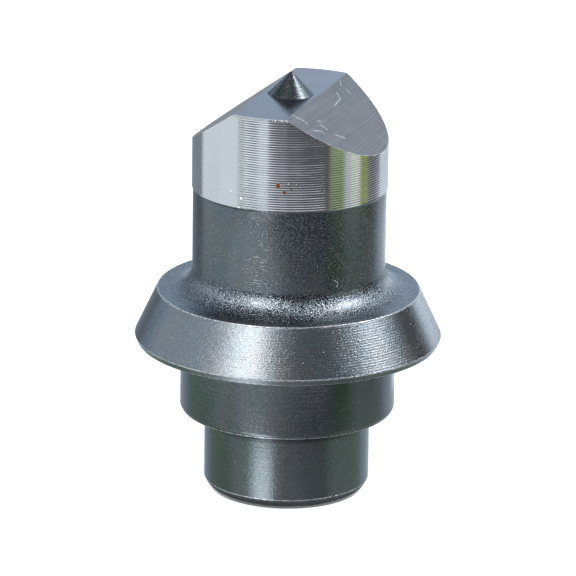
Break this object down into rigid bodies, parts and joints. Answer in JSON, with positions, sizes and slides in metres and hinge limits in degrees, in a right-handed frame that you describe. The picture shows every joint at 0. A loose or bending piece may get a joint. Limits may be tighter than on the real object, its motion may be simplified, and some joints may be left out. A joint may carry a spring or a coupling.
{
  "type": "piercing punch",
  "caption": "Round piercing punch in one piece: bright cutting tip with a roof-ground end and centring pip, relieved body, coned clamping collar and stepped spigots.",
  "frame": {"origin": "centre of the flat end of the tail spigot, on which the punch stands", "axes": "+Z along the punch's axis from the tail to the pip; Y along the flat strip of the roof; X across it, down the two slopes"},
  "size_m": [0.0408, 0.0408, 0.0573],
  "materials": {
    "tool_steel": "hardened tool steel, bright turned and ground on the tip, blackened and satin on the body, collar and spigots"
  },
  "bodies": {
    "root": {"punch": "tool_steel"}
  },
  "joints": []
}
